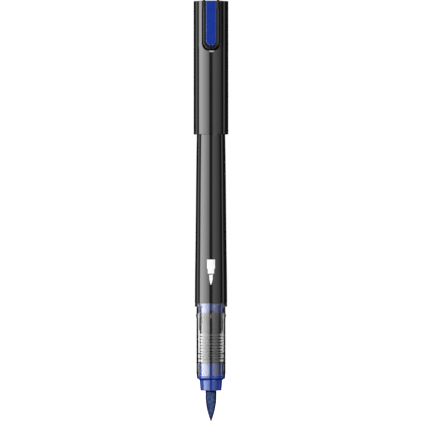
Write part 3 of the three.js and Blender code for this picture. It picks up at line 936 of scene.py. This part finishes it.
def cap_shell():
    """The cap's tube as one closed skin, with a rounded finger recess that runs out through the top."""
    centre = clip_tip - RECESS_PAST + RECESS_HALF
    outer = RECESS_HALF + RECESS_FIELD
    below = centre - outer - RECESS_BELOW
    tall = [(z, 0.0) for z in even(centre, cap_end - RIM_ROUND, CAP_ROWS)] + rim_rows(cap_end, -1)
    lower = [(z, 0.0) for z in even(below, cap_mouth + RIM_ROUND, TUBE_ROWS)] + rim_rows(cap_mouth, 1)

    # The recess: its two straight sides and its round lower end
    places = recess_places(RECESS_SIDE_LIP, RECESS_SIDE_RAMP)
    drops = [recess_drop(d, RECESS_SIDE_LIP, RECESS_SIDE_RAMP) for d in places]
    across = [RECESS_HALF + d for d in places]
    strips = [loft([[on_cap(side * x, z, drop + more) for x, drop in zip(across, drops)] for z, more in tall])
              for side in (-1, 1)]
    strips.append(loft([recess_arc(a, centre) for a in half_turn()]))

    # The front below it, the back, and the front's lower part
    columns = [outer * math.cos(a) for a in half_turn()]
    starts = [centre + outer * math.sin(a) for a in half_turn()]
    shares = [j / SKIRT_ROWS for j in range(SKIRT_ROWS + 1)]
    strips.append(loft([[on_cap(x, z + (below - z) * share) for x, z in zip(columns, starts)]
                        for share in shares]))
    edge = math.asin(outer / cap_radius)
    back = [edge + (2 * math.pi - 2 * edge) * k / BACK_COLUMNS for k in range(BACK_COLUMNS + 1)]
    sides_down = [(centre + (below - centre) * share, 0.0) for share in shares[1:-1]]
    strips.append(loft([[around(cap_radius - drop, a, z) for a in back]
                        for z, drop in [*tall[::-1], *sides_down, *lower]]))
    strips.append(loft([[on_cap(x, z, drop) for x in columns] for z, drop in lower]))

    # The end face at the top, and the bore with its mouth, land and snap groove
    rim_radius = cap_radius - RIM_ROUND
    front_top = [-x for x in across[::-1]] + across[1:]
    front_drop = drops[::-1] + drops[1:]
    top_loop = [on_cap(x, cap_end, drop + RIM_ROUND) for x, drop in zip(front_top, front_drop)]
    top_loop += [around(rim_radius, a, cap_end) for a in back[1:-1]]
    mouth_loop = [on_cap(x, cap_mouth, RIM_ROUND) for x in columns]
    mouth_loop += [around(rim_radius, a, cap_mouth) for a in back[1:-1]]
    strips.append(loft([top_loop, scaled_loop(top_loop, CAP_BORE + HAIRLINE, cap_end)], closed=True))
    loops = [mouth_loop] + [scaled_loop(mouth_loop, r, z) for r, z in cap_bore()]
    strips.append(loft(loops, closed=True))
    return joined(*strips)


def cap_bore():
    """The bore's outline of (radius, z), from the mouth up."""
    land_end = cap_mouth + MOUTH_LAND
    groove = cap_mouth + BEAD_SETBACK
    deep = MOUTH_BORE + GROOVE_DEPTH
    half, flat = GROOVE_WIDTH / 2, GROOVE_WIDTH / 6
    return [
        (deep, cap_mouth),
        (MOUTH_BORE, cap_mouth + GROOVE_DEPTH),
        (MOUTH_BORE, groove - half),
        (deep, groove - flat),
        (deep, groove + flat),
        (MOUTH_BORE, groove + half),
        (MOUTH_BORE, land_end - MOUTH_LAND_SLOPE),
        (CAP_BORE, land_end),
        (CAP_BORE, cap_end - SOFT),
    ]


def scaled_loop(loop, radius, z):
    """The loop's points moved to one radius and height, each at its own angle."""
    made = []
    for x, y, _ in loop:
        length = math.hypot(x, y)
        made.append((x / length * radius, y / length * radius, z))
    return made


def bridge_cap(obj):
    """Closes the seam between the cap's top rim and its bore, whose columns differ."""
    work = bmesh.new()
    work.from_mesh(obj.data)
    loose = [e for e in work.edges if e.is_boundary]
    bmesh.ops.bridge_loops(work, edges=loose)
    bmesh.ops.recalc_face_normals(work, faces=work.faces)
    for face in work.faces:
        face.smooth = True
    work.to_mesh(obj.data)
    work.free()
    obj.data.set_sharp_from_angle(angle=math.radians(SHARP_ANGLE))


def crown_profile():
    roof = cap_end - CROWN_ROOF
    skirt = crown_radius - CROWN_WALL
    return rounded([
        (0.0, roof),
        (skirt, roof, CROWN_FILLET),
        (skirt, crown_low, SOFT),
        (crown_radius, crown_low, FULL),
        (crown_radius, cap_end - LEAST_STEP, CRISP),
        (CROWN_FLAT, crown_top, CROWN_ROUND),
        (0.0, crown_top),
    ])


def cup_profile():
    chamber = CUP_LIP_RADIUS + CUP_WIDER
    outer = CUP_LIP_RADIUS + CUP_WALL
    lip_end = cup_mouth + CUP_LIP_LENGTH
    chamber_end = cup_end - CUP_ROOF
    return rounded([
        (0.0, chamber_end),
        (chamber, chamber_end, CUP_FILLET),
        (chamber, lip_end),
        (CUP_LIP_RADIUS, lip_end - CUP_WIDER, HAIRLINE),
        (CUP_LIP_RADIUS, cup_mouth, FULL),
        (outer, cup_mouth, SOFT),
        (outer, chamber_end, SOFT),
        (crown_radius, chamber_end, NEAT),
        (crown_radius, cup_end, NEAT),
        (0.0, cup_end),
    ])


# Pieces of the clip


def arc_points(centre, radius, start, end, steps):
    """Points of an arc between two angles in degrees."""
    turns = [math.radians(start + (end - start) * k / steps) for k in range(steps + 1)]
    return [(centre[0] + radius * math.cos(a), centre[1] + radius * math.sin(a)) for a in turns]


def crowned(d, face=clip_face):
    """The height of the clip's gently crowned face at a distance d from its middle plane."""
    return face + d * d / (2 * CLIP_CROWN_RADIUS)


def clip_frame():
    """The clip's rails and pocket, its two ears over the cap's end, its root and its bead."""
    section = [(0.0, CLIP_BACK)]
    corner = (clip_half - RAIL_BACK_ROUND, CLIP_BACK - RAIL_BACK_ROUND)
    section += arc_points(corner, RAIL_BACK_ROUND, 90, 0, RAIL_BACK_STEPS)
    outer = (CLIP_FACE_HALF - RAIL_ROUND, crowned(CLIP_FACE_HALF) + RAIL_ROUND)
    section += arc_points(outer, RAIL_ROUND, 0, -RAIL_TURN, RAIL_STEPS)
    inner = (POCKET_HALF + RAIL_ROUND, crowned(POCKET_HALF) + RAIL_ROUND)
    section += [(d, crowned(d)) for d in (inner[0] + (outer[0] - inner[0]) * share for share in RAIL_SHARES)]
    section += arc_points(inner, RAIL_ROUND, RAIL_TURN - 180, -180, RAIL_STEPS)
    section += [(POCKET_HALF, POCKET_FLOOR), (0.0, POCKET_FLOOR)]
    top = cap_end - TOP_SUNK
    frame_shell = stadium_sweep(section, clip_tip + clip_half, top)
    foot, ear_low = cap_end - EAR_FOOT, ear_top - EAR_THICKNESS
    chamfer = EAR_THICKNESS * EAR_CHAMFER
    ear_side = [
        (clip_face + LEAST_STEP, foot),
        (CLIP_BACK, foot),
        (CLIP_BACK, ear_low),
        (ear_end, ear_low),
        (ear_end, ear_top),
        (clip_face + EAR_THICKNESS, ear_top),
        (clip_face + chamfer, ear_top - chamfer),
        (clip_face, ear_low),
    ]
    ears = [bevelled(*extruded(ear_side, left, left + EAR_WIDTH), EAR_BEVEL)
            for left in (EAR_INNER, -EAR_INNER - EAR_WIDTH)]
    front, low = CLIP_BACK - ROOT_SUNK, cap_end - ROOT_LENGTH
    root_side = [(front, low), (ROOT_BACK, low), (ROOT_BACK, top), (front, top)]
    root = bevelled(*extruded(root_side, -ROOT_HALF, ROOT_HALF), SOFT)
    return joined(frame_shell, *ears, root, clip_bead())


def clip_bead():
    """The round bar under the clip's tip that bears on the cap."""
    line = [(-CLIP_BEAD_HALF, 0.0)]
    line += [(CLIP_BEAD_ROUND * (1 - math.cos(a)) - CLIP_BEAD_HALF, math.sin(a)) for a in CLIP_BEAD_TURNS]
    line += [(-x, share) for x, share in line[::-1]]
    turns = even(0.0, 2 * math.pi, BAR_SIDES)
    height = clip_tip + CLIP_BEAD_SETBACK
    rows = []
    for x, share in line:
        r = CLIP_BEAD_RADIUS * max(share, CLIP_BEAD_LEAST)
        rows.append([(x, CLIP_BACK + r * math.cos(a), height + r * math.sin(a)) for a in turns])
    return with_ends(*loft(rows, closed=True), BAR_SIDES)


def inlay():
    """The coloured strip in the clip, with rounded edges."""
    edge, half = INLAY_ROUND, INLAY_FACE_HALF
    section = [(0.0, inlay_back), (half, inlay_back)]
    corner = (half - edge, crowned(half - edge, inlay_face) + edge)
    section += arc_points(corner, edge, 0, -INLAY_TURN, INLAY_STEPS)
    section += [(d, crowned(d, inlay_face)) for d in ((half - edge) * INLAY_FACE_SHARE, half / 2, 0.0)]
    return stadium_sweep(section, inlay_tip + inlay_half, inlay_top)


# Studio: the light round the marker. Azimuths are in degrees from the camera's side, positive to its right

# Windows all round, as (azimuth, brightness), their reach above and below the level, and the key strip
STUDIO = (
    (-180, 0.0), (-127, 0.0), (-122, 0.3), (-117, 1.2), (-111, 0.5), (-105, 0.7), (-99, 0.05), (-91, 0.0),
    (-88.5, 0.55), (-86, 2.3), (-82, 4.5), (-76, 4.25), (-62, 4.15), (-54, 3.65), (-38, 2.9), (-24, 1.95),
    (-18, 1.85), (-14, 1.25), (-11, 0.48), (-8, 0.1), (6, 0.1), (11, 0.51), (17, 0.93), (30, 0.81),
    (46, 0.61), (62, 0.41), (78, 0.05), (88, 0.0), (96, 0.78), (102, 0.6), (108, 0.03), (180, 0.0),
)
STUDIO_TOP = 5.0
BAND_REACH, BAND_FADE = 34.0, 10.0
KEY_LEFT, KEY_RIGHT, KEY_FADE = -14.0, 20.0, 9.0
KEY_LOW, KEY_HIGH, KEY_HEIGHT_FADE = 11.5, 17.5, 1.0
KEY_LIGHT = 4.8

# Round lamps: azimuth, height, spread and brightness
TOP = (12.0, 62.0, 16.0, 3.4)
BACK_KEY = (180.0, 50.0, 30.0, 2.2)
LOW_RIGHT = (38.0, -54.0, 13.0, 6.0)
LOW_LEFT = (-36.0, -54.0, 12.0, 4.6)
LAMP_CORE = 0.8

# A panel behind, a dome above, and what the clear wall shows behind it: at the right, left and edges
BACK_PANEL, BACK_PANEL_GAP = 0.7, 6.0
BACK_PANEL_START, BACK_PANEL_FULL = 0.2, 0.7
DOME_LOW, DOME_FADE, DOME_LIGHT = 14.0, 10.0, 0.25
SEEN_THROUGH, SEEN_THROUGH_LEFT = 0.33, 0.84
SEEN_THROUGH_TURN = 0.1
SEEN_THROUGH_EDGE, EDGE_START, EDGE_FULL = 1.6, 0.2, 0.32
BEHIND_START, BEHIND_FULL = 0.62, 0.8

# Floor, and what the camera takes in, in metres
FLOOR_RADIUS, FLOOR_INNER, FLOOR_DROP = 900.0, 270.0, 0.2
FLOOR_COLOUR, FLOOR_ROUGHNESS = 0.5, 0.9
FLOOR_OWN_LIGHT = 0.72
NEAREST, FARTHEST = 0.1, 50.0


def smooth_step(tree, source, start, end):
    """From 0 at start to 1 at end, smoothly."""
    made = add(tree, "ShaderNodeMapRange", {"Value": source}, interpolation_type="SMOOTHSTEP", From_Min=start,
               From_Max=end)
    return made.outputs["Result"]


def window(tree, source, start, end, fade):
    """1 between start and end, fading out to 0 on both sides inside them."""
    rise = smooth_step(tree, source, start, start + fade)
    return times(tree, rise, smooth_step(tree, source, end, end - fade))


def lamp_patch(tree, direction, azimuth, height, spread_angle, light):
    """A round soft light in the surroundings."""
    a, h = math.radians(azimuth), math.radians(height)
    aim = (math.sin(a) * math.cos(h), -math.cos(a) * math.cos(h), math.sin(h))
    dot = add(tree, "ShaderNodeVectorMath", {0: direction}, operation="DOT_PRODUCT")
    dot.inputs[1].default_value = aim
    edge = math.cos(math.radians(spread_angle))
    inner = math.cos(math.radians(spread_angle * LAMP_CORE))
    return times(tree, smooth_step(tree, dot.outputs["Value"], edge, inner), light)


def studio():
    """The world: lights for reflections, a backdrop for clear walls, and white for the camera."""
    world = bpy.data.worlds.new("studio")
    scene.world = world
    world.use_nodes = True
    tree = world.node_tree
    tree.nodes.clear()
    place = add(tree, "ShaderNodeTexCoord")
    aim = add(tree, "ShaderNodeVectorMath", {0: place.outputs["Generated"]}, operation="NORMALIZE")
    direction = aim.outputs[0]
    parts = add(tree, "ShaderNodeSeparateXYZ", {0: direction})
    azimuth = maths(tree, "ARCTAN2", parts.outputs["X"], times(tree, parts.outputs["Y"], -1.0))
    turn = plus(tree, maths(tree, "DIVIDE", azimuth, 2 * math.pi), 0.5)
    height = times(tree, maths(tree, "ARCSINE", parts.outputs["Z"]), 180 / math.pi)
    ring = shades(tree, turn, [((a + 180) / 360, light / STUDIO_TOP) for a, light in STUDIO])
    reach = maths(tree, "ABSOLUTE", height)
    band = smooth_step(tree, reach, BAND_REACH + BAND_FADE, BAND_REACH)
    total = times(tree, times(tree, ring, STUDIO_TOP), band)
    behind = times(tree, smooth_step(tree, parts.outputs["Y"], BACK_PANEL_START, BACK_PANEL_FULL),
                   smooth_step(tree, height, BACK_PANEL_GAP, BACK_PANEL_GAP * 2))
    dome = times(tree, smooth_step(tree, height, DOME_LOW, DOME_LOW + DOME_FADE), DOME_LIGHT)
    panel = times(tree, behind, BACK_PANEL)
    lamps = [lamp_patch(tree, direction, *lamp) for lamp in (TOP, BACK_KEY, LOW_RIGHT, LOW_LEFT)]
    side = times(tree, azimuth, 180 / math.pi)
    key = times(tree, window(tree, side, KEY_LEFT, KEY_RIGHT, KEY_FADE),
                window(tree, height, KEY_LOW, KEY_HIGH, KEY_HEIGHT_FADE))
    for more in (panel, dome, times(tree, key, KEY_LIGHT), *lamps):
        total = plus(tree, total, more)
    path = add(tree, "ShaderNodeLightPath")
    bounces = plus(tree, path.outputs["Glossy Depth"], path.outputs["Diffuse Depth"])
    direct = maths(tree, "LESS_THAN", bounces, 0.5)
    through = times(tree, path.outputs["Is Transmission Ray"], direct)
    left = smooth_step(tree, parts.outputs["X"], 0.0, -SEEN_THROUGH_TURN)
    level = plus(tree, times(tree, left, SEEN_THROUGH_LEFT - SEEN_THROUGH), SEEN_THROUGH)
    edge = smooth_step(tree, maths(tree, "ABSOLUTE", parts.outputs["X"]), EDGE_START, EDGE_FULL)
    gain = plus(tree, times(tree, edge, SEEN_THROUGH_EDGE), 1.0)
    level = times(tree, level, gain)
    level = times(tree, level, smooth_step(tree, parts.outputs["Y"], BEHIND_START, BEHIND_FULL))
    total = plus(tree, total, times(tree, level, through))
    sources = {"Factor": path.outputs["Is Camera Ray"], MIX_FIRST_NUMBER: total}
    strength = add(tree, "ShaderNodeMix", sources, data_type="FLOAT")
    strength.inputs[MIX_SECOND_NUMBER].default_value = 1.0
    background = add(tree, "ShaderNodeBackground", {"Strength": strength.outputs[0]}, Color=(1, 1, 1, 1))
    add(tree, "ShaderNodeOutputWorld", {"Surface": background.outputs[0]})


def floor():
    """A pale round floor under the nib's tip. It shows the marker's shadow."""
    material, tree, shader = principled("floor", (FLOOR_COLOUR, FLOOR_COLOUR, FLOOR_COLOUR), FLOOR_ROUGHNESS)
    disc = turned([(r, -FLOOR_DROP) for r in (0.0, FLOOR_INNER, FLOOR_RADIUS)], sides=FLOOR_SIDES)
    obj = new_object("floor", *disc, material)
    path = add(tree, "ShaderNodeLightPath")
    share = times(tree, path.outputs["Is Camera Ray"], FLOOR_OWN_LIGHT)
    own = add(tree, "ShaderNodeEmission", {"Strength": share})
    both = add(tree, "ShaderNodeAddShader", {0: shader.outputs[0], 1: own.outputs[0]})
    tree.links.new(both.outputs[0], tree.nodes["Material Output"].inputs["Surface"])
    obj.visible_glossy = obj.visible_transmission = False


def camera():
    """A long lens at the height of the picture's middle, level, looking at the clip's side."""
    data = bpy.data.cameras.new("camera")
    side = PICTURE_SIDE * PIXEL
    data.sensor_width = SENSOR
    data.lens = SENSOR * CAMERA_DISTANCE / side
    data.clip_start, data.clip_end = NEAREST, FARTHEST
    obj = bpy.data.objects.new("camera", data)
    across = (PICTURE_SIDE / 2 - AXIS_COLUMN) * PIXEL
    obj.location = (across * MM, -CAMERA_DISTANCE * MM, side / 2 * MM)
    obj.rotation_euler = (math.pi / 2, 0, 0)
    scene.collection.objects.link(obj)
    scene.camera = obj


# Finishes in use
black = black_gloss()
clear = clear_plastic()
comb_finish = comb_black()
white = inner_white()
ink = print_white()
tint = blue_plastic("blue_translucent", (0.03, 0.07))
liquid = blue_plastic("paint_blue", (0.03, 0.07))
strip = blue_plastic("inlay_blue", (0.04, 0.09))
# The nib's felt gets painted shade from just under the nose's front; the wick's at its top end
nib_felt = felt("nib_felt", (0.075, 0.125, 0.27), (0.22, 0.315, 0.56), (0.47, 0.6, 0.97),
                cone_front - PAINTED_SHADE_FADE)
wick_felt = felt("wick_fibre", (0.15, 0.21, 0.36), (0.3, 0.38, 0.6), (0.48, 0.55, 0.82), wick_end)

# The pen
wick_line = [(0.0, wick_start), (wick_radius, wick_start), (wick_radius, wick_end), (0.0, wick_end)]
comb_line, drum_back = comb_profile()
comb = joined(slotted(comb_line, SLOT_HALF, SLOT_FLOOR), tab(drum_back))
sign = joined(*[wrapped(rows, barrel_radius, -SIGN_SUNK, SIGN_PROUD) for rows in sign_rows()])
nose = turned(nose_profile(), closed=True)
piece("nib_brush", *turned(nib_profile()), nib_felt, "pen", ["nib"], "nib_felt", FELT_SHARP_ANGLE)
piece("nose_cone_turned", *nose, tint, "pen", ["nose_cone"], "blue_translucent")
piece("clear_tube", *turned(section_profile(), closed=True), clear, "pen", ["clear_section"], "clear_plastic")
piece("comb_feed", *comb, comb_finish, "pen", ["feed_comb"], "feed_black")
piece("wick", *turned(wick_line), wick_felt, "pen", ["feed_wick"], "wick_fibre")
piece("paint_column", *turned(paint_profile()), liquid, "pen", ["paint_charge"], "paint_blue")
piece("barrel_tube", *turned(barrel_profile(), closed=True), black, "pen", ["barrel"], "black_gloss")
piece("end_plug", *turned(end_plug_profile()), black, "pen", ["barrel_end_plug"], "black_gloss")
piece("nib_sign", *sign, ink, "pen")

# The cap and the clip
cap = piece("cap_tube", *cap_shell(), black, "cap", ["cap_shell"], "black_gloss")
bridge_cap(cap)
piece("cap_crown_disc", *turned(crown_profile()), black, "cap", ["cap_crown"], "black_gloss")
piece("inner_cup", *turned(cup_profile()), white, "cap", ["inner_cap"], "inner_white")
piece("clip_frame", *clip_frame(), black, "clip", ["pocket_clip"], "black_gloss")
piece("clip_strip", *inlay(), strip, "clip", ["clip_inlay"], "inlay_blue")

studio()
floor()
camera()
scene.view_settings.view_transform = "Standard"
